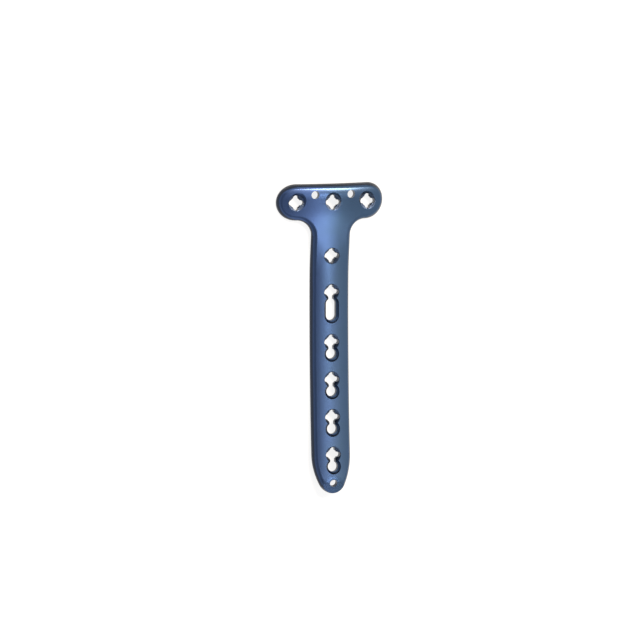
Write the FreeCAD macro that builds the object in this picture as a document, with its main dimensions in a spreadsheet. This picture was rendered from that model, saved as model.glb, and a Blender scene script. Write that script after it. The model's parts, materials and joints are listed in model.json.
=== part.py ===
import FreeCAD, Part
import math
import os
import Sketcher

from FreeCAD import Placement, Rotation, Vector

# T-shaped bone plate, one piece of titanium. In the sketches X runs across the plate,
# Y along it towards the head bar and Z out through the outer face; Y = 0 is the place
# where the bowed underside is lowest. The finished body is then centred on its box.
doc = FreeCAD.newDocument("bone_plate")
os.makedirs("parts", exist_ok=True)

sheet = doc.addObject("Spreadsheet::Sheet", "Sizes")
SIZES = (
    # plan outline
    ("shaft_half_width", 6.9, "half the width of the shaft"),
    ("head_half_width", 19.0, "middle line to the end of the head bar"),
    ("head_end_radius", 6.3, "rounded ends and half height of the head bar"),
    ("brow_length", 0.5, "straight lower edge of the head bar, between its round end and the shoulder"),
    ("tip_position", 64.4, "lowest place of the underside to the very tip"),
    ("tip_side_radius", 24.0, "long arcs that narrow the tip"),
    ("tip_nose_radius", 4.9, "small arc at the very tip"),
    # cross sections
    ("shaft_thickness", 2.8, "outer face to bone side on the middle line of the shaft"),
    ("head_thickness", 2.3, "outer face to bone side in the head bar"),
    ("shaft_top_radius", 18.0, "arch of the outer face across the shaft"),
    ("shaft_under_radius", 25.0, "arch of the bone side across the shaft"),
    ("head_top_radius", 64.0, "arch of the outer face across the head bar"),
    ("head_under_radius", 61.7, "arch of the bone side across the head bar"),
    # lengthwise bow
    ("lower_bow_radius", 640.0, "bow of the outer face of the shaft"),
    ("upper_bow_radius", 262.0, "tighter bow of the outer face in the neck and head bar"),
    ("blend_start", 10.5, "lowest place to where the neck begins and the shaft starts to flatten"),
    # edge
    ("outer_edge_radius", 2.1, "rounding of the outer face along the outline, made as three bevels"),
    # slanted facet of the tip
    ("facet_start", 6.3, "very tip to the start of the facet on the middle line"),
    ("facet_slope", 9.5, "fall of the facet towards the tip in degrees"),
    # locking hole with four lobes
    ("star_rim_radius", 2.86, "round mouth of a locking hole, at the level of the outer face"),
    ("star_crest_radius", 1.78, "narrowest place between the columns"),
    ("star_crest_depth", 1.45, "outer face to the narrowest place"),
    ("lobe_radius", 0.86, "each lobe between two columns"),
    ("lobe_reach", 1.74, "hole axis to lobe axis"),
    # where the locking holes sit
    ("head_row_position", 36.7, "row of three locking holes in the head bar"),
    ("head_row_spacing", 12.8, "middle hole to side hole"),
    ("head_row_lean", 5.0, "lean of the head holes towards the head end in degrees"),
    ("neck_hole_position", 18.0, "locking hole in the neck"),
    ("long_hole_position", 5.4, "locking end of the long combination hole"),
    # combination holes
    ("seat_offset", 4.1, "locking end to the middle of the screw seat"),
    ("seat_travel", 4.0, "straight length of the long seat"),
    ("waist_half_width", 0.95, "half the width of the passage between locking end and seat"),
    ("through_radius", 1.8, "through hole under the seat"),
    ("seat_ball_radius", 3.0, "ball that shapes the screw seat"),
    ("seat_ball_lift", 1.25, "middle of that ball above the outer face"),
    ("combi_position", 11.9, "first short combination hole"),
    ("combi_pitch", 13.0, "distance between the short combination holes"),
    # wire holes
    ("head_wire_radius", 1.38, "two wire holes in the head bar"),
    ("head_wire_spread", 6.4, "middle line to each of them"),
    ("head_wire_lift", 2.65, "row of locking holes to them"),
    ("tip_wire_radius", 1.28, "wire hole in the tip"),
    ("tip_wire_inset", 3.4, "very tip to the middle of that hole"),
    # reach of cutters beyond the plate
    ("margin", 3.0, "how far the untrimmed slab passes the outline"),
    ("cutter_reach", 15.0, "how far a cutting shape passes the plate"),
)
for row, (alias, value, note) in enumerate(SIZES, start=1):
    sheet.set(f"A{row}", note)
    sheet.set(f"B{row}", str(value))
    sheet.setAlias(f"B{row}", alias)
doc.recompute()


def size(alias):
    """Value of a named size."""
    return float(sheet.get(alias))


def ref(alias):
    """Reference to a named size, as used in an expression."""
    return "<<Sizes>>." + alias


# Derived heights and places, each written once as an expression of the sheet.
TOP = f"({ref('shaft_thickness')} + {ref('shaft_half_width')} ^ 2 / (2 * {ref('shaft_under_radius')}))"
FOOT = f"({ref('head_row_position')} - {ref('head_end_radius')} - {ref('margin')})"
HEAD_TOP = f"({ref('head_row_position')} + {ref('head_end_radius')})"
REACH = ref("cutter_reach")
BLEND = ref("blend_start")
BROW_END = f"({ref('head_half_width')} - {ref('head_end_radius')} - {ref('brow_length')})"
SHOULDER = f"({BROW_END} - {ref('shaft_half_width')})"

# Each bow is a circle in the side view: radius, and the place and height of its middle.
LOWER = (ref("lower_bow_radius"), "0", f"({TOP} + {ref('lower_bow_radius')})")
BOW_RATIO = f"({ref('upper_bow_radius')} / {ref('lower_bow_radius')})"
UPPER_LEVEL = f"{LOWER[2]} - (1 - {BOW_RATIO}) * sqrt({LOWER[0]} ^ 2 - {BLEND} ^ 2)"
UPPER = (ref("upper_bow_radius"), f"({BLEND} * (1 - {BOW_RATIO}))", f"({UPPER_LEVEL})")


def value_of(expression):
    """Number that an expression of the sheet gives now."""
    result = sheet.evalExpression(expression)
    return float(getattr(result, "Value", result))


def crown(place, bow):
    """Height of the outer face on the middle line at a place along the given bow."""
    radius, middle, level = bow
    return f"({level} - sqrt({radius} ^ 2 - ({place} - {middle}) ^ 2))"


def lean(place, bow):
    """Angle that sets a section or a hole square to the bowed outer face."""
    radius, middle, _ = bow
    return f"asin(({place} - {middle}) / {radius})"


body = doc.addObject("PartDesign::Body", "Plate")
body.Label = "bone_plate"


def origin_plane(role):
    """Plane of the body's origin with the given role."""
    return next(item for item in body.Origin.OriginFeatures if item.Role == role)


def new_sketch(name, role, axis=Vector(0, 0, 1), **offsets):
    """Sketch on an origin plane, shifted and turned by expressions of the sheet."""
    sketch = body.newObject("Sketcher::SketchObject", name)
    sketch.AttachmentSupport = (origin_plane(role), [""])
    sketch.MapMode = "FlatFace"
    values = {part: value_of(expression) for part, expression in offsets.items()}
    base = Vector(values.get("x", 0), values.get("y", 0), values.get("z", 0))
    sketch.AttachmentOffset = Placement(base, Rotation(axis, values.get("angle", 0)))
    for part, expression in offsets.items():
        path = "Rotation.Angle" if part == "angle" else "Base." + part
        sketch.setExpression("AttachmentOffset." + path, expression)
    return sketch


def dimension(sketch, expression, kind, *details):
    """Dimension of a sketch that follows an expression of the sheet."""
    index = sketch.addConstraint(Sketcher.Constraint(kind, *details, value_of(expression)))
    sketch.setExpression(f"Constraints[{index}]", expression)


def relate(sketch, kind, *details):
    """Geometric constraint of a sketch."""
    sketch.addConstraint(Sketcher.Constraint(kind, *details))


def point(x, y):
    """Point of the sketch plane."""
    return Vector(x, y, 0)


def add_line(sketch, start, end):
    """Straight segment in a sketch; returns its index."""
    return sketch.addGeometry(Part.LineSegment(point(*start), point(*end)))


def add_circle(sketch, centre, radius):
    """Circle in a sketch; returns its index."""
    return sketch.addGeometry(Part.Circle(point(*centre), Vector(0, 0, 1), radius))


def add_arc(sketch, centre, radius, start_angle, end_angle):
    """Counterclockwise arc in a sketch; returns its index."""
    circle = Part.Circle(point(*centre), Vector(0, 0, 1), radius)
    return sketch.addGeometry(Part.ArcOfCircle(circle, start_angle, end_angle))


# Names for the points of a shape in a sketch, and for the two axes of the sketch.
_, START, END, CENTRE = range(4)
H_AXIS, V_AXIS = range(-1, -3, -1)
ORIGIN = (H_AXIS, START)
QUARTER = math.pi / 2


def add_section(name, place, bow, share, half):
    """Closed cross section square to the bow; share is 0 in the shaft and 1 in the head bar."""
    sketch = new_sketch(name, "XZ_Plane", Vector(1, 0, 0), y=crown(place, bow), z=f"0 - ({place})",
                        angle=lean(place, bow))
    thickness = f"({1 - share} * {ref('shaft_thickness')} + {share} * {ref('head_thickness')})"
    ends = []
    for side, depth in (("top", "0"), ("under", thickness)):
        shaft, head = ref(f"shaft_{side}_radius"), ref(f"head_{side}_radius")
        bend = f"({1 - share} / {shaft} + {share} / {head})"
        radius, drop = 1 / value_of(bend), value_of(depth)
        swing = math.asin(value_of(half) / radius)
        arch = add_arc(sketch, (0, -drop - radius), radius, QUARTER - swing, QUARTER + swing)
        relate(sketch, "PointOnObject", arch, CENTRE, V_AXIS)
        relate(sketch, "Symmetric", arch, START, arch, END, V_AXIS)
        dimension(sketch, f"1 / {bend}", "Radius", arch)
        dimension(sketch, f"{depth} + 1 / {bend}", "DistanceY", arch, CENTRE, *ORIGIN)
        dimension(sketch, half, "DistanceX", *ORIGIN, arch, START)
        ends.append(arch)
    top, under = ends
    for position in (START, END):
        upper, lower = sketch.getPoint(top, position), sketch.getPoint(under, position)
        edge = add_line(sketch, (upper.x, upper.y), (lower.x, lower.y))
        relate(sketch, "Coincident", edge, START, top, position)
        relate(sketch, "Coincident", edge, END, under, position)
    return sketch


def add_bow_axis(name, bow):
    """Sketch of the axis that the plate is bowed around, a level line across it."""
    _, middle, level = bow
    sketch = new_sketch(name, "XZ_Plane", y=level, z=f"0 - {middle}")
    line = add_line(sketch, (0, 0), (size("margin"), 0))
    relate(sketch, "Coincident", line, START, *ORIGIN)
    relate(sketch, "PointOnObject", line, END, H_AXIS)
    dimension(sketch, ref("margin"), "DistanceX", *ORIGIN, line, END)
    return sketch


def bend_slab(name, section, axis, angle, towards_tip=False):
    """Bowed slab: a section turned around the axis of its bow."""
    slab = body.newObject("PartDesign::Revolution", name)
    slab.Profile = section
    slab.ReferenceAxis = (axis, ["Edge1"])
    slab.Angle = value_of(angle)
    slab.setExpression("Angle", angle)
    slab.Reversed = towards_tip
    doc.recompute()
    return slab


def smooth(steps):
    """Shares that rise from 0 to 1 with level ends."""
    parts = [step / steps for step in range(steps + 1)]
    return [part * part * (3 - 2 * part) for part in parts]


# Bowed slab, wider than the outline: shaft, a neck that flattens, and head bar.
SHAFT_HALF = f"({ref('shaft_half_width')} + {ref('margin')})"
HEAD_HALF = f"({ref('head_half_width')} + {ref('margin')})"
BLEND_STEPS = 3
lower_axis = add_bow_axis("LowerBow", LOWER)
upper_axis = add_bow_axis("UpperBow", UPPER)
sections = []
for step, share in enumerate(smooth(BLEND_STEPS)):
    place_of_step = f"({BLEND} + ({FOOT} - {BLEND}) * {step} / {BLEND_STEPS})"
    sections.append(add_section(f"NeckSection{step}", place_of_step, UPPER, share, SHAFT_HALF))
doc.recompute()
slab_tip = f"({ref('tip_position')} + {ref('margin')})"
bend_slab("Shaft", sections[0], lower_axis, f"{lean(slab_tip, LOWER)} + {lean(BLEND, LOWER)}", True)
neck = body.newObject("PartDesign::AdditiveLoft", "Neck")
neck.Profile = sections[0]
neck.Sections = sections[1:]
neck.Ruled = False
neck.Closed = False
doc.recompute()
head_section = add_section("HeadSection", FOOT, UPPER, 1, HEAD_HALF)
slab_top = f"({HEAD_TOP} + {ref('margin')})"
bend_slab("HeadBar", head_section, upper_axis, f"{lean(slab_top, UPPER)} - {lean(FOOT, UPPER)}")


def cut_both_ways(name, sketch):
    """Pocket that passes through the plate on both sides of its sketch."""
    pocket = body.newObject("PartDesign::Pocket", name)
    pocket.Profile = sketch
    pocket.Midplane = True
    pocket.Length = 2 * size("cutter_reach")
    pocket.setExpression("Length", "2 * " + REACH)
    doc.recompute()
    return pocket


def add_sided_arc(sketch, hand, centre, radius, low, high):
    """Arc on the right of the middle line, or its mirror image where hand is -1."""
    if hand < 0:
        low, high = math.pi - high, math.pi - low
    return add_arc(sketch, (hand * centre[0], centre[1]), radius, low, high)


def add_outline(sketch):
    """Outline of the plate: head bar, shoulders, shaft and bullet-shaped tip."""
    shaft = size("shaft_half_width")
    head = size("head_half_width")
    end = size("head_end_radius")
    row = size("head_row_position")
    shoulder = value_of(SHOULDER)
    side = size("tip_side_radius")
    nose = size("tip_nose_radius")
    nose_y = nose - size("tip_position")
    rise = math.sqrt((side - nose) ** 2 - (side - shaft) ** 2)
    swing = math.atan2(rise, side - shaft)
    taper_y = nose_y + rise
    foot_y = row - end
    corner_y = foot_y - shoulder
    top = add_line(sketch, (end - head, row + end), (head - end, row + end))
    nose_arc = add_arc(sketch, (0, nose_y), nose, math.pi + swing, 2 * math.pi - swing)
    halves = []
    for hand in (1, -1):
        low, high = (START, END) if hand > 0 else (END, START)
        end_arc = add_sided_arc(sketch, hand, (head - end, row), end, -QUARTER, QUARTER)
        brow = add_line(sketch, (hand * (head - end), foot_y), (hand * (shaft + shoulder), foot_y))
        corner = add_sided_arc(sketch, hand, (shaft + shoulder, corner_y), shoulder, QUARTER, 2 * QUARTER)
        flank = add_line(sketch, (hand * shaft, corner_y), (hand * shaft, taper_y))
        taper = add_sided_arc(sketch, hand, (shaft - side, taper_y), side, -swing, 0)
        relate(sketch, "Tangent", top, high, end_arc, high)
        relate(sketch, "Tangent", end_arc, low, brow, START)
        relate(sketch, "Tangent", brow, END, corner, low)
        relate(sketch, "Tangent", corner, high, flank, START)
        relate(sketch, "Tangent", flank, END, taper, high)
        relate(sketch, "Tangent", taper, low, nose_arc, high)
        relate(sketch, "Vertical", flank)
        halves.append((end_arc, brow, corner, flank, taper))
    (end_arc, brow, corner, flank, taper), (left_end, _, left_corner, _, left_taper) = halves
    relate(sketch, "Horizontal", top)
    relate(sketch, "Horizontal", brow)
    relate(sketch, "Symmetric", end_arc, CENTRE, left_end, CENTRE, V_AXIS)
    relate(sketch, "Symmetric", corner, CENTRE, left_corner, CENTRE, V_AXIS)
    relate(sketch, "Equal", corner, left_corner)
    relate(sketch, "Equal", taper, left_taper)
    relate(sketch, "PointOnObject", nose_arc, CENTRE, V_AXIS)
    dimension(sketch, ref("head_end_radius"), "Radius", end_arc)
    dimension(sketch, SHOULDER, "Radius", corner)
    dimension(sketch, ref("tip_side_radius"), "Radius", taper)
    dimension(sketch, ref("tip_nose_radius"), "Radius", nose_arc)
    dimension(sketch, ref("shaft_half_width"), "DistanceX", *ORIGIN, flank, START)
    dimension(sketch, ref("head_row_position"), "DistanceY", *ORIGIN, end_arc, CENTRE)
    end_centre = f"{ref('head_half_width')} - {ref('head_end_radius')}"
    nose_centre = f"{ref('tip_position')} - {ref('tip_nose_radius')}"
    dimension(sketch, end_centre, "DistanceX", *ORIGIN, end_arc, CENTRE)
    dimension(sketch, nose_centre, "DistanceY", nose_arc, CENTRE, *ORIGIN)


def add_frame(sketch, left, right, low, high):
    """Rectangle whose sides lie at the given expressions, measured away from the origin."""
    west, east, south, north = -value_of(left), value_of(right), -value_of(low), value_of(high)
    corners = [(west, south), (east, south), (east, north), (west, north)]
    sides = [add_line(sketch, corners[step - 1], corners[step]) for step in range(len(corners))]
    for step, side in enumerate(sides):
        relate(sketch, "Coincident", side, START, sides[step - 1], END)
        relate(sketch, "Horizontal" if step % 2 else "Vertical", side)
    _, bottom, _, top = sides
    dimension(sketch, left, "DistanceX", bottom, START, *ORIGIN)
    dimension(sketch, low, "DistanceY", bottom, START, *ORIGIN)
    dimension(sketch, right, "DistanceX", *ORIGIN, top, START)
    dimension(sketch, high, "DistanceY", *ORIGIN, top, START)


outline = new_sketch("Outline", "XY_Plane")
add_outline(outline)
beside = f"({ref('head_half_width')} + {REACH})"
add_frame(outline, beside, beside, f"({ref('tip_position')} + {REACH})", f"({HEAD_TOP} + {REACH})")
doc.recompute()
cut_both_ways("Trim", outline)


def facing(face, edge):
    """How far a face looks up at the middle of one of its edges: 1 straight up, -1 straight down."""
    middle = edge.valueAt((edge.FirstParameter + edge.LastParameter) / 2)
    return face.normalAt(*face.Surface.parameter(middle)).z


def edges_between(shape, *ranges):
    """Names of the edges where faces meet whose looks upwards lie in each of the ranges."""
    names = []
    for number, edge in enumerate(shape.Edges, start=1):
        looks = [facing(face, edge) for face in shape.ancestorsOfType(edge, Part.Face)]
        if all(any(low < look < high for look in looks) for low, high in ranges):
            names.append(f"Edge{number}")
    return names


def bevel(name, edges, width):
    """Bevel along edges of the finished slab."""
    base = body.Tip
    feature = body.newObject("PartDesign::Chamfer", name)
    feature.Base = (base, edges)
    feature.Size = value_of(width)
    feature.setExpression("Size", width)
    doc.recompute()


# Ranges for how far each kind of face along the outline looks up.
OUTER_FACE = (0.85, 1.01)
BEVEL = (0.4, 0.8)
WALL = (-0.3, 0.3)

# The rounding of the outer face is three bevels that touch its arc: one across the corner,
# then one along each side of that one.
ACROSS = f"({ref('outer_edge_radius')} * (2 - sqrt(2)))"
BESIDE = f"({ref('outer_edge_radius')} * (tan(22.5 deg) - tan(11.25 deg)))"
bevel("OuterBevel", edges_between(body.Tip.Shape, OUTER_FACE, WALL), ACROSS)
along = edges_between(body.Tip.Shape, OUTER_FACE, BEVEL) + edges_between(body.Tip.Shape, BEVEL, WALL)
bevel("OuterRound", along, BESIDE)


def place(sketch, geometry, position, across, up):
    """Fixes a point of a sketch at two expressions."""
    for expression, kind, axis in ((across, "DistanceX", V_AXIS), (up, "DistanceY", H_AXIS)):
        if expression == "0":
            relate(sketch, "PointOnObject", geometry, position, axis)
        else:
            dimension(sketch, expression, kind, *ORIGIN, geometry, position)


def add_profile(sketch, corners):
    """Closed wire of straight lines through corners given as pairs of expressions."""
    values = [tuple(value_of(part) for part in corner) for corner in corners]
    lines = [add_line(sketch, values[step - 1], values[step]) for step in range(len(values))]
    for step, edge in enumerate(lines):
        relate(sketch, "Coincident", edge, START, lines[step - 1], END)
        place(sketch, edge, END, *corners[step])


# Slanted facet that thins the tip: everything above a sloping line in the side view.
FACET = f"(0 - {ref('tip_position')} + {ref('facet_start')})"
facet_view = new_sketch("FacetView", "YZ_Plane", x=FACET, y=crown(FACET, LOWER))
run = f"({ref('facet_start')} + {REACH})"
fall = f"({run} * tan({ref('facet_slope')} * 1 deg))"
add_profile(facet_view, [("0", "0"), (f"0 - {run}", f"0 - {fall}"), (f"0 - {run}", REACH), ("0", REACH)])
doc.recompute()
cut_both_ways("Facet", facet_view)


def revolve_cut(name, sketch):
    """Groove around the upright axis of its sketch."""
    groove = body.newObject("PartDesign::Groove", name)
    groove.Profile = sketch
    groove.ReferenceAxis = (sketch, ["V_Axis"])
    doc.recompute()
    return groove


def hole_view(name, along, height, tilt, across="0"):
    """Upright sketch at a hole, its vertical axis on the axis of the hole."""
    return new_sketch(name, "YZ_Plane", x=along, y=height, z=across, angle=tilt)


def hole_plan(name, along, height, tilt, across="0"):
    """Sketch on the outer face at a hole, square to the hole."""
    return new_sketch(name, "XY_Plane", Vector(1, 0, 0), x=across, y=along, z=height, angle=tilt)


def add_star(name, along, height, tilt, across="0", waist=False):
    """Locking hole: a mouth that narrows to a straight bore, with lobes between four columns."""
    rim, crest, depth = (ref("star_" + part) for part in ("rim_radius", "crest_radius", "crest_depth"))
    view = hole_view(name + "View", along, height, tilt, across)
    add_profile(view, [
        ("0", depth),
        (f"2 * {rim} - {crest}", depth),
        (crest, f"0 - {depth}"),
        (crest, f"0 - {REACH}"),
        ("0", f"0 - {REACH}"),
    ])
    bore = revolve_cut(name + "Bore", view)
    plan = hole_plan(name + "Plan", along, height, tilt, across)
    lobe = ref("lobe_reach")
    places = [(lobe, "0"), ("0", lobe), (f"0 - {lobe}", "0")]
    if waist:
        half = ref("waist_half_width")
        start, end = f"0 - {lobe} / 2", f"0 - {ref('seat_offset')}"
        add_profile(plan, [(half, start), (f"0 - {half}", start), (f"0 - {half}", end), (half, end)])
    else:
        places.append(("0", f"0 - {lobe}"))
    for x, y in places:
        circle = add_circle(plan, (value_of(x), value_of(y)), size("lobe_radius"))
        dimension(plan, ref("lobe_radius"), "Radius", circle)
        place(plan, circle, CENTRE, x, y)
    return [bore, cut_both_ways(name + "Lobes", plan)]


def add_seat_profile(sketch, whole):
    """Ball seat above a through hole: half of it beside the axis, or the whole of it."""
    ball, lift, hole = size("seat_ball_radius"), size("seat_ball_lift"), size("through_radius")
    bottom = -size("cutter_reach")
    joint = (hole, lift - math.sqrt(ball ** 2 - hole ** 2))
    swing = math.atan2(joint[1] - lift, hole)
    end_angle = math.pi - swing if whole else QUARTER
    end = (-hole, joint[1]) if whole else (0, lift + ball)
    arc = add_arc(sketch, (0, lift), ball, swing, end_angle)
    wall = add_line(sketch, joint, (hole, bottom))
    floor = add_line(sketch, (hole, bottom), (end[0], bottom))
    close = add_line(sketch, (end[0], bottom), end)
    relate(sketch, "Coincident", wall, START, arc, START)
    relate(sketch, "Coincident", floor, START, wall, END)
    relate(sketch, "Coincident", close, START, floor, END)
    relate(sketch, "Coincident", close, END, arc, END)
    relate(sketch, "Vertical", wall)
    relate(sketch, "Horizontal", floor)
    relate(sketch, "PointOnObject", arc, CENTRE, V_AXIS)
    dimension(sketch, ref("seat_ball_radius"), "Radius", arc)
    dimension(sketch, ref("seat_ball_lift"), "DistanceY", *ORIGIN, arc, CENTRE)
    dimension(sketch, ref("through_radius"), "DistanceX", *ORIGIN, wall, END)
    dimension(sketch, "0 - " + REACH, "DistanceY", *ORIGIN, wall, END)
    if whole:
        relate(sketch, "Vertical", close)
        relate(sketch, "Symmetric", arc, START, arc, END, V_AXIS)
    else:
        relate(sketch, "PointOnObject", arc, END, V_AXIS)
        relate(sketch, "PointOnObject", close, START, V_AXIS)


def add_seat(name, along, height, tilt):
    """Round seat for a screw head with its through hole."""
    view = hole_view(name + "View", along, height, tilt)
    add_seat_profile(view, False)
    return revolve_cut(name, view)


def add_wire_hole(name, along, height, tilt, across, up, radius):
    """Plain hole for a guide wire."""
    plan = hole_plan(name + "Plan", along, height, tilt)
    circle = add_circle(plan, (value_of(across), value_of(up)), size(radius))
    dimension(plan, ref(radius), "Radius", circle)
    place(plan, circle, CENTRE, across, up)
    return cut_both_ways(name, plan)


# Head bar: a row of three locking holes and two wire holes above them.
ROW = ref("head_row_position")
SPACING = ref("head_row_spacing")
HEAD_ARCH = ref("head_top_radius")
row_height = crown(ROW, UPPER)
side_height = f"({row_height} - {HEAD_ARCH} + sqrt({HEAD_ARCH} ^ 2 - {SPACING} ^ 2))"
row_tilt = f"0 - {ref('head_row_lean')}"
add_star("HeadMiddle", ROW, row_height, row_tilt)
mirrored = add_star("HeadSide", ROW, side_height, row_tilt, SPACING)
wire_spot = (ref("head_wire_spread"), ref("head_wire_lift"))
mirrored.append(add_wire_hole("HeadWire", ROW, row_height, row_tilt, *wire_spot, "head_wire_radius"))
mirror = body.newObject("PartDesign::Mirrored", "HeadMirror")
mirror.Originals = mirrored
mirror.MirrorPlane = (origin_plane("YZ_Plane"), [""])
body.Tip = mirror
doc.recompute()

# Neck: one locking hole square to the bowed face.
NECK = ref("neck_hole_position")
add_star("NeckHole", NECK, crown(NECK, UPPER), lean(NECK, UPPER))

# Long combination hole: locking end, waist and a long level seat in which the screw can travel.
LONG = ref("long_hole_position")
NEAR_SEAT = f"({LONG} - {ref('seat_offset')})"
FAR_SEAT = f"({NEAR_SEAT} - {ref('seat_travel')})"
long_height = crown(LONG, LOWER)
add_star("LongHole", LONG, long_height, "0", waist=True)
add_seat("LongSeatNear", NEAR_SEAT, long_height, "0")
add_seat("LongSeatFar", FAR_SEAT, long_height, "0")
travel_view = new_sketch("LongSeatView", "XZ_Plane", z=f"0 - {NEAR_SEAT}", y=long_height)
add_seat_profile(travel_view, True)
travel = body.newObject("PartDesign::Pocket", "LongSeatTravel")
travel.Profile = travel_view
travel.Length = size("seat_travel")
travel.setExpression("Length", ref("seat_travel"))
travel.Reversed = True
doc.recompute()

# Four short combination holes, set square to the bow and repeated around its axis.
COMBI_COUNT = 4
COMBI = f"(0 - {ref('combi_position')})"
SEAT = f"({COMBI} - {ref('seat_offset')})"
repeated = add_star("Combi", COMBI, crown(COMBI, LOWER), lean(COMBI, LOWER), waist=True)
repeated.append(add_seat("CombiSeat", SEAT, crown(SEAT, LOWER), lean(SEAT, LOWER)))
pattern = body.newObject("PartDesign::PolarPattern", "CombiRow")
pattern.Originals = repeated
pattern.Axis = (lower_axis, ["Edge1"])
pattern.Mode = "Spacing"
pattern.Offset = math.degrees(size("combi_pitch") / size("lower_bow_radius"))
pattern.setExpression("Offset", f"{ref('combi_pitch')} / {LOWER[0]} * 180 deg / pi")
pattern.Occurrences = COMBI_COUNT
pattern.Reversed = True
body.Tip = pattern
doc.recompute()

# Wire hole of the tip, square to the facet.
TIP_WIRE = f"({ref('tip_wire_inset')} - {ref('tip_position')})"
add_wire_hole("TipWire", TIP_WIRE, crown(TIP_WIRE, LOWER), ref("facet_slope"), "0", "0", "tip_wire_radius")

for item in body.Group:
    if "Invalid" in item.State or "Error" in item.State:
        raise RuntimeError(f"{item.Name} is {item.State}")
box = body.Shape.optimalBoundingBox()
body.Placement = Placement(Vector(0, -(box.YMin + box.YMax) / 2, -box.ZMin), Rotation())
doc.recompute()
if body.Shape.isNull() or not body.Shape.isValid() or len(body.Shape.Solids) != 1:
    raise RuntimeError("the plate is not one valid solid")
body.Shape.exportStep(os.path.join("parts", body.Label + ".step"))
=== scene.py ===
"""Bone plate of anodised titanium, lying on a pale studio floor."""

import json
import math

import bmesh
import bpy
import numpy as np
from bpy.props import FloatProperty, FloatVectorProperty, IntProperty, PointerProperty
from mathutils import Matrix, Vector

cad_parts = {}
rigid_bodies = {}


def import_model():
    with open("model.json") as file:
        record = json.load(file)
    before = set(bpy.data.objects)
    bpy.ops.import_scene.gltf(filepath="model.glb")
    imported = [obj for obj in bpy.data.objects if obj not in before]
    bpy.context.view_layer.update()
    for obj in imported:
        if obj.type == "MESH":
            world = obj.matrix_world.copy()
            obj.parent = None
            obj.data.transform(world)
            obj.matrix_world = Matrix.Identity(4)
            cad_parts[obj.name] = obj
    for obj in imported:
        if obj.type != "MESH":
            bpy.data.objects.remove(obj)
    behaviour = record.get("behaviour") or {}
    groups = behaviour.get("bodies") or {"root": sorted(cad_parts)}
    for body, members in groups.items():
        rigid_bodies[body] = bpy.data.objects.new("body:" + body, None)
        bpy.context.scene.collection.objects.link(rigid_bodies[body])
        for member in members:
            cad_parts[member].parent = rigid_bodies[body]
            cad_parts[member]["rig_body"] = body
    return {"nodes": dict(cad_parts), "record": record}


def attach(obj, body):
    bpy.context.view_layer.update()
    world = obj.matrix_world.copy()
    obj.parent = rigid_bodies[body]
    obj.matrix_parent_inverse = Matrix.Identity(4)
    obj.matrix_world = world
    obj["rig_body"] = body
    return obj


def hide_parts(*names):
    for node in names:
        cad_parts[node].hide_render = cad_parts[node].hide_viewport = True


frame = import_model()

bl_info = {
    "name": "Bone plate",
    "version": (1, 0, 0),
    "blender": (4, 5, 0),
    "location": "3D View > Sidebar > Bone plate",
    "description": "Finishes the bone plate, cuts its thread ridges and sets up the studio",
    "category": "Object",
}

PLATE = "bone_plate"
BODY = frame["nodes"][PLATE]["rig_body"]
MOUNTS = {mount["name"]: mount for mount in frame["record"]["mounts"]}
LOCKING_HOLES = [name for name in MOUNTS if "locking" in name or "combination" in name]

MM = 0.001
WHITE = (1.0, 1.0, 1.0)

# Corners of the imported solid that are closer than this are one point.
JOINT = 0.0001 * MM

# Triangles whose normals have at least this cosine between them are in one smooth patch.
SAME_PATCH = 0.9995

# Places along the plate: the head's face starts to bend at the neck's end and is bent in full
# at the hole row, then rolls over up to its far edge. The cuts are counted with both ends.
NECK_END = 37.5 * MM
HOLE_ROW = 46.0 * MM
ROLL_START = 48.1 * MM
FAR_EDGE = 52.4 * MM
BEND_CUTS = 9
ROLL_CUTS = 10
HEAD_CUTS = [
    *np.linspace(NECK_END, HOLE_ROW, BEND_CUTS),
    *np.linspace(ROLL_START, FAR_EDGE, ROLL_CUTS),
]

# Sockets of a Mix node that mixes colours: its two inputs and its output.
MIX_FIRST, MIX_SECOND, MIX_RESULT = 6, 7, 2

# A painted tint deepens the film's colour across the plate from the first of these places to
# the second, in tint widths to the right of the middle line; it stands in for the film's sheen
# shifting colour with the angle it is seen at. The colour swings by this share of the way in its
# clouds.
PAINTED_TINT_SPAN = (0.3, -0.7)
CLOUD_SWING = 0.15

# Blasted grain: how far it moves the roughness both ways, and its depth.
ROUGHNESS_SWING = 0.05
GRAIN_DEPTH = 0.02 * MM

# Thread ridge: points along it, its profile across in pitches and in ridge heights, the share
# of the column's width that it covers, and the pitches from the mouth to the first ridge.
RIDGE_STEPS = 14
RIDGE_ACROSS = np.array([-0.46, -0.10, 0.10, 0.46])
RIDGE_PROUD = np.array([-0.3, 1.0, 1.0, -0.3])
RIDGE_SHARE = 0.98
FIRST_RIDGE = 1.0

# Paper floor: half its side, points along a side, and the width and depth of its tooth. The
# paper's white is the share of plain white that the camera and mirrors see of it.
FLOOR_HALF = 3.0
FLOOR_POINTS = 13
TOOTH_WIDTH = MM / 0.9
TOOTH_DEPTH = 0.02 * MM
PAPER_WHITE = 0.85

# Softboxes: name, the setting that holds the power, sides in metres and where it stands from.
SOFTBOXES = (
    ("overhead_softbox", "overhead", (0.16, 0.28), (0.05, 0.04, 0.99)),
    ("front_softbox", "front", (0.14, 0.26), (0.21, -0.29, 0.93)),
    ("rear_softbox", "rear", (0.62, 0.18), (0.23, 0.43, 0.87)),
)

# Corners of the grey cards, in metres: one leans over the plate's left side, one over its tip.
CARDS = {
    "side_card": [[-0.40, -1.2, 0.04], [-0.40, 0.3, 0.04], [-0.17, 0.3, 1.0], [-0.17, -1.2, 1.0]],
    "front_card": [[-0.30, -0.9, 0.70], [-0.30, -0.5, 1.0], [0.70, -0.5, 1.0], [0.70, -0.9, 0.70]],
}

# Nearest and furthest that the camera sees, in metres.
CLIP = (0.01, 50.0)


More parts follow.
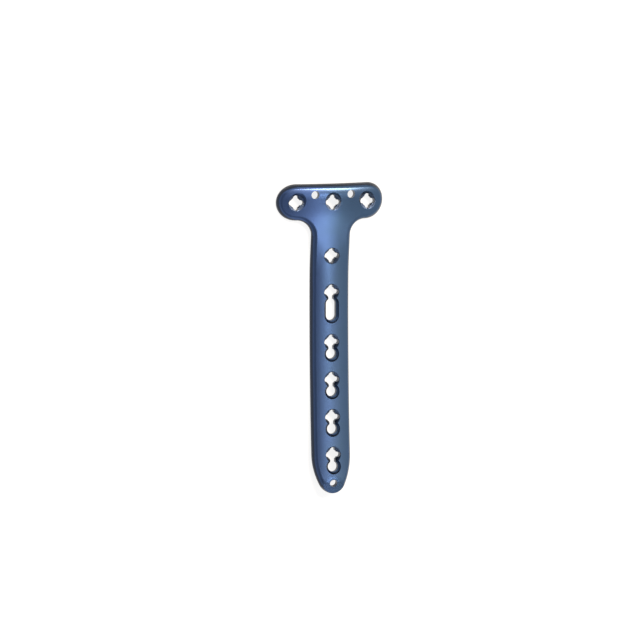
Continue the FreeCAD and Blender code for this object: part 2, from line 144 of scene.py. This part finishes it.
def linear(code):
    """Linear colour of an sRGB hex code: each channel goes through the sRGB curve."""
    channels = [int(code[i : i + 2], 16) / 255 for i in (1, 3, 5)]
    return tuple(
        value / 12.92 if value <= 0.04045 else ((value + 0.055) / 1.055) ** 2.4
        for value in channels
    )


def add_node(tree, kind, settings=None, links=None):
    """Adds one node, gives it its settings and values, and links its inputs."""
    node = tree.nodes.new(kind)
    for key, value in (settings or {}).items():
        if isinstance(key, str) and hasattr(node, key):
            setattr(node, key, value)
        else:
            node.inputs[key].default_value = value
    for key, socket in (links or {}).items():
        tree.links.new(socket, node.inputs[key])
    return node


def new_material(name):
    """Empty node material and its output node."""
    material = bpy.data.materials.new(name)
    material.use_nodes = True
    material.node_tree.nodes.clear()
    output = add_node(material.node_tree, "ShaderNodeOutputMaterial")
    return material, material.node_tree, output


def new_piece(name, points, faces):
    """Mesh object from an array of points and an array of faces."""
    mesh = bpy.data.meshes.new(name)
    mesh.from_pydata(points.tolist(), [], faces.tolist())
    mesh.validate()
    piece = bpy.data.objects.new(name, mesh)
    bpy.context.scene.collection.objects.link(piece)
    return piece


def read_all(items, name, width, kind=float):
    """One property of all vertices, loops or corners, as an array with a row for each."""
    values = np.empty(width * len(items), dtype=kind)
    items.foreach_get(name, values)
    return values.reshape(-1, width)


class BonePlateFinish(bpy.types.PropertyGroup):
    """Sizes and colours of the plate's finish."""

    film: FloatVectorProperty(
        name="Oxide film",
        description="Colour of the anodised film",
        subtype="COLOR",
        size=3,
        min=0.0,
        max=1.0,
        default=linear("#425771"),
    )
    # Deep film colour: for the thicker patches of the film, and for the painted sheen tint towards
    # the left side.
    deep_film_and_painted_tint: FloatVectorProperty(
        name="Deep film",
        description="Colour where the film grew a little thicker",
        subtype="COLOR",
        size=3,
        min=0.0,
        max=1.0,
        default=linear("#465A83"),
    )
    # Painted shade: the dark colour of the steep faces, standing in for the dark surroundings that
    # they mirror.
    painted_edge_shade: FloatVectorProperty(
        name="Edge film",
        description="Colour on steep faces, where the film grows thickest",
        subtype="COLOR",
        size=3,
        min=0.0,
        max=1.0,
        default=linear("#2B323F"),
    )
    # Painted shade: the thread ridges lie deep in the holes, and this darker colour stands in for
    # the shade there and damps their glints.
    thread_painted_shade: FloatVectorProperty(
        name="Thread film",
        description="Colour of the film on the thread ridges",
        subtype="COLOR",
        size=3,
        min=0.0,
        max=1.0,
        default=linear("#2F3A4D"),
    )
    # Tilts of the face over which the painted edge shade comes in.
    edge_shade_start: FloatProperty(
        name="Steep from",
        description="Tilt of the face at which the edge film starts",
        subtype="ANGLE",
        default=math.radians(46.0),
    )
    edge_shade_end: FloatProperty(
        name="Steep to",
        description="Tilt of the face from which it is all edge film",
        subtype="ANGLE",
        default=math.radians(60.0),
    )
    roughness: FloatProperty(
        name="Roughness",
        description="Roughness of the blasted and anodised skin",
        min=0.0,
        max=1.0,
        subtype="FACTOR",
        default=0.30,
    )
    cloud_size: FloatProperty(
        name="Cloud size",
        description="Size of the soft patches in the film",
        default=7.0 * MM,
        unit="LENGTH",
    )
    # Width of the painted tint that stands in for the film's sheen shifting colour with viewing
    # angle.
    painted_tint_width: FloatProperty(
        name="Drift width",
        description="Width over which the film drifts from its plain to its deep colour",
        default=10.0 * MM,
        unit="LENGTH",
    )
    grain_size: FloatProperty(
        name="Grain size",
        description="Size of the blasted grain, drawn coarser than life so that it shows",
        default=0.16 * MM,
        unit="LENGTH",
    )
    facet_turn: FloatProperty(
        name="Facet turn",
        description="Faces that turn less than this are facets, with a crisp line between them",
        subtype="ANGLE",
        default=math.radians(12.0),
    )
    head_bend: FloatProperty(
        name="Head bend",
        description="How far the head's face turns up towards the tip of the plate",
        subtype="ANGLE",
        default=math.radians(5.0),
    )
    head_roll: FloatProperty(
        name="Head roll",
        description="How far the head's face rolls over at its far edge",
        subtype="ANGLE",
        default=math.radians(30.0),
    )
    corner_turn: FloatProperty(
        name="Corner turn",
        description="Faces that turn more than this meet in a sharp corner",
        subtype="ANGLE",
        default=math.radians(32.0),
    )


class BonePlateThreads(bpy.types.PropertyGroup):
    """Sizes of the thread ridges on the columns of the locking holes."""

    mouth_radius: FloatProperty(
        name="Mouth radius",
        description="Radius of the hole's cone at the plate's face",
        default=2.86 * MM,
        unit="LENGTH",
    )
    crest_radius: FloatProperty(
        name="Crest radius",
        description="Radius of the hole where the columns reach furthest in",
        default=1.78 * MM,
        unit="LENGTH",
    )
    crest_depth: FloatProperty(
        name="Crest depth",
        description="Depth of the columns' crest",
        default=1.45 * MM,
        unit="LENGTH",
    )
    lobe_radius: FloatProperty(
        name="Lobe radius",
        description="Radius of the four lobes between the columns",
        default=0.86 * MM,
        unit="LENGTH",
    )
    lobe_reach: FloatProperty(
        name="Lobe reach",
        description="Distance of a lobe's middle from the hole's axis",
        default=1.74 * MM,
        unit="LENGTH",
    )
    pitch: FloatProperty(
        name="Pitch",
        description="Distance from one ridge to the next, down the cone",
        default=0.34 * MM,
        unit="LENGTH",
    )
    ridge_height: FloatProperty(
        name="Ridge height",
        description="How far a ridge stands out of the cone",
        default=0.11 * MM,
        unit="LENGTH",
    )
    ridges: IntProperty(
        name="Ridges",
        description="Ridges on each column",
        default=4,
        min=1,
    )


class BonePlateStage(bpy.types.PropertyGroup):
    """Camera, lamps and floor of the studio."""

    turn: FloatProperty(
        name="Turn",
        description="How far the camera stands to the left of the plate",
        subtype="ANGLE",
        default=math.radians(17.0),
    )
    rise: FloatProperty(
        name="Rise",
        description="How far the camera stands towards the head of the plate",
        subtype="ANGLE",
        default=math.radians(7.7),
    )
    frame_width: FloatProperty(
        name="Frame width",
        description="Width that the picture spans at the plate",
        default=220.16 * MM,
        unit="LENGTH",
    )
    lens: FloatProperty(
        name="Lens",
        description="Focal length in millimetres",
        unit="CAMERA",
        default=250.0,
    )
    aim: FloatVectorProperty(
        name="Aim",
        description="Point that stands in the middle of the picture",
        subtype="TRANSLATION",
        size=3,
        default=(-3.76 * MM, 6.41 * MM, 2.15 * MM),
    )
    floor: FloatVectorProperty(
        name="Floor",
        description="Colour of the paper floor",
        subtype="COLOR",
        size=3,
        min=0.0,
        max=1.0,
        default=linear("#F4F4F3"),
    )
    overhead: FloatProperty(
        name="Overhead lamp",
        description="Power of the softbox above the plate, in watts",
        unit="POWER",
        default=0.24,
    )
    front: FloatProperty(
        name="Front lamp",
        description="Power of the softbox above the tip's side, in watts",
        unit="POWER",
        default=0.96,
    )
    rear: FloatProperty(
        name="Rear lamp",
        description="Power of the softbox behind the head of the plate, in watts",
        unit="POWER",
        default=19.0,
    )
    rear_colour: FloatVectorProperty(
        name="Rear colour",
        description="Warm colour of the softbox behind the head of the plate",
        subtype="COLOR",
        size=3,
        min=0.0,
        max=1.0,
        default=linear("#FFE8D0"),
    )
    room: FloatProperty(
        name="Room light",
        description="Strength of the even light of the room",
        default=1.0,
    )
    card: FloatProperty(
        name="Card",
        description="Brightness of the grey cards that the plate's left and tip sides mirror",
        default=0.40,
    )


def anodised_titanium(name, settings, film, deep_film_and_painted_tint):
    """Titanium, glass-bead blasted and then anodised to a blue interference film.

    To the eye it is a metal with a soft, wide sheen and no mirror image, deep blue all over,
    with faint patches where the film is thicker and a fine even grain from the blasting. A
    painted tint, deeper and more violet towards the left side, stands in for the film's sheen
    shifting colour with the angle it is seen at, and painted shade darkens the steep faces,
    standing in for the dark surroundings they mirror. The real grain is about 0.05 mm wide,
    too fine to show, so it is drawn about three times as wide.
    """
    if name in bpy.data.materials:
        return bpy.data.materials[name]
    material, tree, output = new_material(name)
    place = add_node(tree, "ShaderNodeTexCoord").outputs["Object"]
    cloud = add_node(
        tree,
        "ShaderNodeTexNoise",
        {"Scale": 1 / settings.cloud_size, "Detail": 3.0, "Roughness": 0.5},
        {"Vector": place},
    ).outputs["Fac"]
    cloud = add_node(
        tree,
        "ShaderNodeMapRange",
        {"From Min": 0.3, "From Max": 0.7, "To Min": -CLOUD_SWING, "To Max": CLOUD_SWING},
        {"Value": cloud},
    ).outputs["Result"]
    # Painted sheen tint: towards the left side the colour leans to the deep film, standing in for
    # the film's colour shift with viewing angle.
    side = add_node(tree, "ShaderNodeSeparateXYZ", {}, {0: place}).outputs["X"]
    plain, deep = (share * settings.painted_tint_width for share in PAINTED_TINT_SPAN)
    painted_tint = add_node(
        tree, "ShaderNodeMapRange", {"From Min": plain, "From Max": deep}, {"Value": side}
    ).outputs["Result"]
    cloud = add_node(
        tree, "ShaderNodeMath", {"operation": "ADD", "use_clamp": True}, {0: painted_tint, 1: cloud}
    ).outputs[0]
    colour = add_node(
        tree,
        "ShaderNodeMix",
        {"data_type": "RGBA", MIX_FIRST: (*film, 1.0), MIX_SECOND: (*deep_film_and_painted_tint, 1.0)},
        {0: cloud},
    ).outputs[MIX_RESULT]
    grain = add_node(
        tree,
        "ShaderNodeTexNoise",
        {"Scale": 1 / settings.grain_size, "Detail": 2.0, "Roughness": 0.6},
        {"Vector": place},
    ).outputs["Fac"]
    rough = add_node(
        tree,
        "ShaderNodeMapRange",
        {
            "To Min": settings.roughness - ROUGHNESS_SWING,
            "To Max": settings.roughness + ROUGHNESS_SWING,
        },
        {"Value": grain},
    ).outputs["Result"]
    bump = add_node(
        tree,
        "ShaderNodeBump",
        {"Strength": 0.12, "Distance": GRAIN_DEPTH},
        {"Height": grain},
    ).outputs["Normal"]
    # Painted shade: the steeper a face, the more it takes the dark edge colour, standing in for
    # the dark surroundings that steep faces mirror.
    way = add_node(tree, "ShaderNodeTexCoord").outputs["Normal"]
    level = add_node(tree, "ShaderNodeSeparateXYZ", {}, {0: way}).outputs["Z"]
    steep = add_node(
        tree,
        "ShaderNodeMapRange",
        {
            "interpolation_type": "SMOOTHSTEP",
            "From Min": math.cos(settings.edge_shade_start),
            "From Max": math.cos(settings.edge_shade_end),
        },
        {"Value": level},
    ).outputs["Result"]
    colour = add_node(
        tree,
        "ShaderNodeMix",
        {"data_type": "RGBA", MIX_SECOND: (*settings.painted_edge_shade, 1.0)},
        {0: steep, MIX_FIRST: colour},
    ).outputs[MIX_RESULT]
    skin = add_node(
        tree,
        "ShaderNodeBsdfPrincipled",
        {"Metallic": 1.0},
        {"Base Color": colour, "Roughness": rough, "Normal": bump},
    )
    tree.links.new(skin.outputs["BSDF"], output.inputs["Surface"])
    return material


def plate_film():
    """The film of the plate's faces."""
    settings = bpy.context.scene.bone_plate_finish
    return anodised_titanium(
        "anodised_titanium_satin", settings, settings.film, settings.deep_film_and_painted_tint
    )


def thread_film_with_painted_shade():
    """The film of the thread ridges, darkened with painted shade, as they lie deep in the holes.
    """
    settings = bpy.context.scene.bone_plate_finish
    return anodised_titanium(
        "anodised_titanium_thread", settings, settings.thread_painted_shade, settings.thread_painted_shade
    )


def smooth_patches(corners, normals, faces_at_edge):
    """Number of the smooth patch that each triangle belongs to.

    Two triangles are in one patch if their normals agree at both ends of the edge they share.
    Each triangle starts with its own number and takes the lowest one among its neighbours, and
    the numbers are followed to their ends until none changes.
    """
    first, second, first_spot, second_spot = faces_at_edge
    alike = (normals[first_spot] * normals[second_spot]).sum(axis=-1).min(axis=-1) > SAME_PATCH
    first, second = first[alike], second[alike]
    patch = np.arange(len(corners))
    while True:
        before = patch.copy()
        lowest = np.minimum(patch[first], patch[second])
        np.minimum.at(patch, first, lowest)
        np.minimum.at(patch, second, lowest)
        patch = patch[patch]
        if (patch == before).all():
            return patch


def shared_edges(corners):
    """Both triangles at each edge, and the places of the edge's two ends among all corners."""
    count = len(corners)
    spots = np.arange(3 * count).reshape(count, 3)
    ends = np.stack([spots, np.roll(spots, -1, axis=1)], axis=-1).reshape(-1, 2)
    points = corners.reshape(-1)[ends]
    turned = points[:, 0] > points[:, 1]
    ends[turned] = ends[turned][:, ::-1]
    points.sort(axis=1)
    order = np.lexsort((points[:, 1], points[:, 0]))
    points, ends = points[order], ends[order]
    same = np.flatnonzero((points[1:] == points[:-1]).all(axis=1))
    return ends[same, 0] // 3, ends[same + 1, 0] // 3, ends[same], ends[same + 1]


def rounded_normals(points, corners, normals, facet_turn, corner_turn):
    """Normal of each corner, with the steps of the rounded edge shaded as one curve.

    At a point, the normals that turn from this corner's by less than the corner turn and more
    than the facet turn are added to it, each weighted with the square of its patch's area. The
    wide faces keep their own normals so, and the narrow steps bend from one to the other.
    """
    sides = points[corners[:, 1:]] - points[corners[:, :1]]
    area = np.linalg.norm(np.cross(sides[:, 0], sides[:, 1]), axis=-1) / 2
    patch = smooth_patches(corners, normals, shared_edges(corners))
    weight = np.repeat(np.bincount(patch, area, len(corners))[patch] ** 2, 3)
    patch = np.repeat(patch, 3)
    where = corners.reshape(-1)
    order = np.argsort(where, kind="stable")
    total = normals * weight[:, None]
    least, most = math.cos(corner_turn), math.cos(facet_turn)
    for shift in range(1, int(np.bincount(where).max())):
        one, other = order[:-shift], order[shift:]
        near = where[one] == where[other]
        one, other = one[near], other[near]
        agree = (normals[one] * normals[other]).sum(axis=-1)
        joined = (agree > least) & ((agree < most) | (patch[one] == patch[other]))
        one, other = one[joined], other[joined]
        np.add.at(total, one, normals[other] * weight[other][:, None])
        np.add.at(total, other, normals[one] * weight[one][:, None])
    return total / np.linalg.norm(total, axis=-1, keepdims=True)


def joined_solid(solid):
    """Points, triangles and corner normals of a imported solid.

    Its triangles are loose, each with its own three vertices, so vertices whose places come to
    the same number of joint distances along X, Y and Z become one point.
    """
    place = np.array(solid.matrix_world)
    loose = read_all(solid.data.vertices, "co", 3) @ place[:3, :3].T + place[:3, 3]
    normals = read_all(solid.data.corner_normals, "vector", 3) @ place[:3, :3].T
    loops = read_all(solid.data.loops, "vertex_index", 1, int).reshape(-1)
    _, kept, joined = np.unique(
        np.round(loose / JOINT), axis=0, return_index=True, return_inverse=True
    )
    return loose[kept], joined.reshape(-1)[loops].reshape(-1, 3), normals


def cut_head(mesh, normals):
    """Cuts the head's triangles across, so that its shading can follow its curve.

    The normals go with the corners as an attribute, which each cut fills in between.
    """
    carried = mesh.attributes.new("carried_normal", "FLOAT_VECTOR", "CORNER")
    carried.data.foreach_set("vector", normals.reshape(-1))
    shape = bmesh.new()
    shape.from_mesh(mesh)
    for along in HEAD_CUTS:
        bmesh.ops.bisect_plane(
            shape,
            geom=shape.verts[:] + shape.edges[:] + shape.faces[:],
            dist=JOINT,
            plane_co=(0.0, along, 0.0),
            plane_no=(0.0, 1.0, 0.0),
        )
    bmesh.ops.triangulate(shape, faces=[face for face in shape.faces if len(face.verts) > 3])
    shape.to_mesh(mesh)
    shape.free()
    carried = mesh.attributes["carried_normal"]
    normals = read_all(carried.data, "vector", 3)
    mesh.attributes.remove(carried)
    return normals / np.linalg.norm(normals, axis=-1, keepdims=True)


def turned_normals(along, normals, bend, roll):
    """Normals turned about X, where they face up, by the curve of the head's face.

    From the neck to the hole row the turn grows to the bend, along a smooth step. From the hole
    row to the far edge the roll is taken off it, growing with the square of the way.
    """
    neck = np.clip((along - NECK_END) / (HOLE_ROW - NECK_END), 0.0, 1.0)
    edge = np.clip((along - ROLL_START) / (FAR_EDGE - ROLL_START), 0.0, 1.0)
    turn = bend * neck**2 * (3 - 2 * neck) - roll * edge**2
    turn = turn * np.clip(2 * normals[:, 2], 0.0, 1.0)
    turned = normals.copy()
    turned[:, 1] = normals[:, 1] * np.cos(turn) - normals[:, 2] * np.sin(turn)
    turned[:, 2] = normals[:, 1] * np.sin(turn) + normals[:, 2] * np.cos(turn)
    return turned


class OBJECT_OT_bone_plate_skin(bpy.types.Operator):
    """Makes the plate that shows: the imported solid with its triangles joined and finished"""

    bl_idname = "object.bone_plate_skin"
    bl_label = "Plate skin"

    def execute(self, context):
        settings = context.scene.bone_plate_finish
        points, corners, normals = joined_solid(frame["nodes"][PLATE])
        normals = rounded_normals(
            points, corners, normals, settings.facet_turn, settings.corner_turn
        )
        skin = new_piece("plate_skin", points, corners)
        skin.data.shade_smooth()
        normals = cut_head(skin.data, normals)
        points = read_all(skin.data.vertices, "co", 3)
        loops = read_all(skin.data.loops, "vertex_index", 1, int).reshape(-1)
        along = points[loops, 1]
        normals = turned_normals(along, normals, settings.head_bend, settings.head_roll)
        skin.data.normals_split_custom_set(normals.tolist())
        skin.data.materials.append(plate_film())
        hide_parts(PLATE)
        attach(skin, BODY)
        return {"FINISHED"}


def column_half_angle(radius, lobe_radius, lobe_reach):
    """Half the angle that a column spans at a radius.

    A quarter of the circle belongs to each column and its lobes. The lobe takes the angle whose
    cosine is (radius^2 + reach^2 - lobe^2) / (2 * radius * reach), by the law of cosines, and
    nothing where the circle passes outside the lobe.
    """
    cosine = (radius**2 + lobe_reach**2 - lobe_radius**2) / (2 * radius * lobe_reach)
    return math.pi / 4 - np.arccos(np.clip(cosine, -1.0, 1.0))


def ridge_surface(sizes, middle_angle, turns):
    """One thread ridge on one column, as a closed strip.

    The ridge runs down the cone by the pitch for each full turn, so its place down the cone is
    pitch * (turns + angle / full turn), and it spans its share of the column's angle at the
    cone's radius there. Across it the profile has four points: two feet sunk into the cone and
    two at the crest, which stands out by the height times the square root of (1 - t^4), t going
    from -1 to 1 along the ridge.
    """
    slant = math.hypot(sizes.mouth_radius - sizes.crest_radius, sizes.crest_depth)
    shrink = (sizes.mouth_radius - sizes.crest_radius) / slant
    sink = sizes.crest_depth / slant
    middle_down = sizes.pitch * (turns + middle_angle / (2 * math.pi))
    radius = sizes.mouth_radius - shrink * middle_down
    half = column_half_angle(radius, sizes.lobe_radius, sizes.lobe_reach)
    along = np.linspace(-1.0, 1.0, RIDGE_STEPS)[:, None]
    angle = middle_angle + along * half * RIDGE_SHARE
    down = sizes.pitch * (turns + angle / (2 * math.pi))
    width = sizes.pitch * RIDGE_ACROSS[None, :]
    proud = sizes.ridge_height * RIDGE_PROUD[None, :]
    fade = np.where(proud > 0, np.sqrt(np.clip(1 - along**4, 0.0, 1.0)), 1.0)
    place = down + width
    height = proud * fade
    reach = sizes.mouth_radius - shrink * place - sink * height
    depth = sink * place - shrink * height
    level = sizes.crest_depth - depth
    points = np.stack([reach * np.cos(angle), reach * np.sin(angle), level], axis=-1)
    rows, cols = reach.shape
    number = np.arange(rows * cols).reshape(rows, cols)
    quads = np.stack(
        [
            number[:-1, :],
            number[1:, :],
            np.roll(number, -1, axis=1)[1:, :],
            np.roll(number, -1, axis=1)[:-1, :],
        ],
        axis=-1,
    ).reshape(-1, 4)
    ends = np.stack([number[0], number[-1][::-1]])
    return points.reshape(-1, 3), np.concatenate([quads, ends])


def hole_matrix(name):
    """Place of a locking hole: its mount's point, at the columns' crest, with Z up its axis."""
    mount = MOUNTS[name]
    up = Vector(mount["axis"]).normalized()
    across = Vector((1.0, 0.0, 0.0))
    across = (across - up * across.dot(up)).normalized()
    along = up.cross(across)
    turn = Matrix((across, along, up)).transposed().to_4x4()
    return Matrix.Translation(Vector(mount["pos_m"])) @ turn


class OBJECT_OT_bone_plate_threads(bpy.types.Operator):
    """Cuts the thread ridges on the columns of each locking hole"""

    bl_idname = "object.bone_plate_threads"
    bl_label = "Thread ridges"

    def execute(self, context):
        sizes = context.scene.bone_plate_threads
        for name in LOCKING_HOLES:
            columns = [math.pi / 4, 3 * math.pi / 4]
            # In a combination hole the passage to the seat takes the two lower columns' thread.
            if "combination" not in name:
                columns += [-math.pi / 4, -3 * math.pi / 4]
            parts, faces, first = [], [], 0
            for middle in columns:
                for ridge in range(sizes.ridges):
                    points, quads = ridge_surface(sizes, middle, ridge + FIRST_RIDGE)
                    parts.append(points)
                    faces.append(quads + first)
                    first += len(points)
            points = np.concatenate(parts)
            place = np.array(hole_matrix(name))
            points = points @ place[:3, :3].T + place[:3, 3]
            piece = new_piece("thread_" + name, points, np.concatenate(faces))
            piece.data.materials.append(thread_film_with_painted_shade())
            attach(piece, BODY)
        return {"FINISHED"}


def background_share(tree):
    """1 for rays from the camera, a mirror or glass, 0 for the rays that carry light and shade."""
    path = add_node(tree, "ShaderNodeLightPath").outputs
    share = path["Is Camera Ray"]
    for kind in ("Is Glossy Ray", "Is Transmission Ray"):
        share = add_node(
            tree, "ShaderNodeMath", {"operation": "MAXIMUM"}, {0: share, 1: path[kind]}
        ).outputs[0]
    return share


def paper_floor(settings):
    """Matt white paper: even, without gloss, with the faintest tooth."""
    material, tree, output = new_material("paper_floor")
    place = add_node(tree, "ShaderNodeTexCoord").outputs["Object"]
    tooth = add_node(
        tree, "ShaderNodeTexNoise", {"Scale": 1 / TOOTH_WIDTH, "Detail": 2.0}, {"Vector": place}
    ).outputs["Fac"]
    bump = add_node(
        tree, "ShaderNodeBump", {"Strength": 0.02, "Distance": TOOTH_DEPTH}, {"Height": tooth}
    ).outputs["Normal"]
    paper = add_node(
        tree, "ShaderNodeBsdfDiffuse", {"Color": (*settings.floor, 1.0)}, {"Normal": bump}
    ).outputs[0]
    white = add_node(tree, "ShaderNodeEmission", {"Strength": 1.0}).outputs[0]
    share = add_node(
        tree,
        "ShaderNodeMath",
        {"operation": "MULTIPLY", 1: PAPER_WHITE},
        {0: background_share(tree)},
    ).outputs[0]
    mixed = add_node(tree, "ShaderNodeMixShader", {}, {0: share, 1: paper, 2: white}).outputs[0]
    tree.links.new(mixed, output.inputs["Surface"])
    return material


def grey_card(settings):
    """Dark grey card, as a photographer stands beside bright metal: even, without gloss."""
    if "grey_card" in bpy.data.materials:
        return bpy.data.materials["grey_card"]
    material, tree, output = new_material("grey_card")
    grey = add_node(tree, "ShaderNodeEmission", {"Strength": settings.card}).outputs[0]
    tree.links.new(grey, output.inputs["Surface"])
    return material


def softbox(name, power, colour, sides, towards, target):
    """Rectangular lamp that faces the target from a direction, a metre away."""
    lamp = bpy.data.lights.new(name, "AREA")
    lamp.shape = "RECTANGLE"
    lamp.size, lamp.size_y = sides
    lamp.energy = power
    lamp.color = colour
    holder = bpy.data.objects.new(name, lamp)
    direction = Vector(towards).normalized()
    holder.location = target + direction
    holder.rotation_euler = (-direction).to_track_quat("-Z", "Y").to_euler()
    bpy.context.scene.collection.objects.link(holder)


class SCENE_OT_bone_plate_stage(bpy.types.Operator):
    """Sets up the floor, the room, the softboxes and the camera"""

    bl_idname = "scene.bone_plate_stage"
    bl_label = "Studio"

    def execute(self, context):
        settings = context.scene.bone_plate_stage
        scene = context.scene
        span = np.linspace(-FLOOR_HALF, FLOOR_HALF, FLOOR_POINTS)
        across, along = np.meshgrid(span, span, indexing="ij")
        points = np.stack([across, along, np.zeros_like(across)], axis=-1).reshape(-1, 3)
        number = np.arange(across.size).reshape(across.shape)
        faces = np.stack(
            [number[:-1, :-1], number[1:, :-1], number[1:, 1:], number[:-1, 1:]], axis=-1
        ).reshape(-1, 4)
        floor = new_piece("floor", points, faces)
        floor.data.materials.append(paper_floor(settings))

        world = bpy.data.worlds.new("room")
        world.use_nodes = True
        world.node_tree.nodes.clear()
        tree = world.node_tree
        room = add_node(tree, "ShaderNodeBackground", {"Strength": settings.room}).outputs[0]
        white = add_node(tree, "ShaderNodeBackground", {"Color": (*WHITE, 1.0), "Strength": 1.0})
        mixed = add_node(
            tree,
            "ShaderNodeMixShader",
            {},
            {0: background_share(tree), 1: room, 2: white.outputs[0]},
        ).outputs[0]
        add_node(tree, "ShaderNodeOutputWorld", {}, {"Surface": mixed})
        scene.world = world

        target = Vector(settings.aim)
        for name, setting, sides, towards in SOFTBOXES:
            colour = getattr(settings, setting + "_colour", WHITE)
            softbox(name, getattr(settings, setting), colour, sides, towards, target)
        for name, corners in CARDS.items():
            card = new_piece(name, np.array(corners), np.array([[0, 1, 2, 3]]))
            card.data.materials.append(grey_card(settings))
            card.visible_camera = card.visible_diffuse = card.visible_shadow = False

        turn, rise = settings.turn, settings.rise
        right = Vector((math.cos(turn), 0.0, math.sin(turn)))
        up = Vector(
            (math.sin(turn) * math.sin(rise), math.cos(rise), -math.cos(turn) * math.sin(rise))
        )
        back = right.cross(up)
        camera = bpy.data.cameras.new("camera")
        camera.lens = settings.lens
        distance = settings.frame_width * settings.lens / camera.sensor_width
        camera.clip_start, camera.clip_end = CLIP
        holder = bpy.data.objects.new("camera", camera)
        scene.collection.objects.link(holder)
        facing = Matrix((right, up, back)).transposed().to_4x4()
        holder.matrix_world = Matrix.Translation(target + back * distance) @ facing
        scene.camera = holder
        scene.view_settings.view_transform = "Standard"
        return {"FINISHED"}


class VIEW3D_PT_bone_plate(bpy.types.Panel):
    """Lists the plate's pieces and the studio in the sidebar"""

    bl_idname = "VIEW3D_PT_bone_plate"
    bl_label = "Bone plate"
    bl_space_type = "VIEW_3D"
    bl_region_type = "UI"
    bl_category = "Bone plate"

    def draw(self, context):
        groups = (
            ("bone_plate_finish", OBJECT_OT_bone_plate_skin),
            ("bone_plate_threads", OBJECT_OT_bone_plate_threads),
            ("bone_plate_stage", SCENE_OT_bone_plate_stage),
        )
        for setting, operator in groups:
            box = self.layout.box()
            group = getattr(context.scene, setting)
            for name in group.bl_rna.properties.keys():
                if name not in ("rna_type", "name"):
                    box.prop(group, name)
            box.operator(operator.bl_idname)


CLASSES = (
    BonePlateFinish,
    BonePlateThreads,
    BonePlateStage,
    OBJECT_OT_bone_plate_skin,
    OBJECT_OT_bone_plate_threads,
    SCENE_OT_bone_plate_stage,
    VIEW3D_PT_bone_plate,
)


def register():
    """Registers the classes and hangs their settings on the scene."""
    for item in CLASSES:
        bpy.utils.register_class(item)
    bpy.types.Scene.bone_plate_finish = PointerProperty(type=BonePlateFinish)
    bpy.types.Scene.bone_plate_threads = PointerProperty(type=BonePlateThreads)
    bpy.types.Scene.bone_plate_stage = PointerProperty(type=BonePlateStage)


def unregister():
    """Takes the settings off the scene and the classes away."""
    del bpy.types.Scene.bone_plate_stage
    del bpy.types.Scene.bone_plate_threads
    del bpy.types.Scene.bone_plate_finish
    for item in reversed(CLASSES):
        bpy.utils.unregister_class(item)


def main():
    """Makes each piece and the studio."""
    register()
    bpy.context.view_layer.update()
    bpy.ops.object.bone_plate_skin()
    bpy.ops.object.bone_plate_threads()
    bpy.ops.scene.bone_plate_stage()


if __name__ == "__main__":
    main()
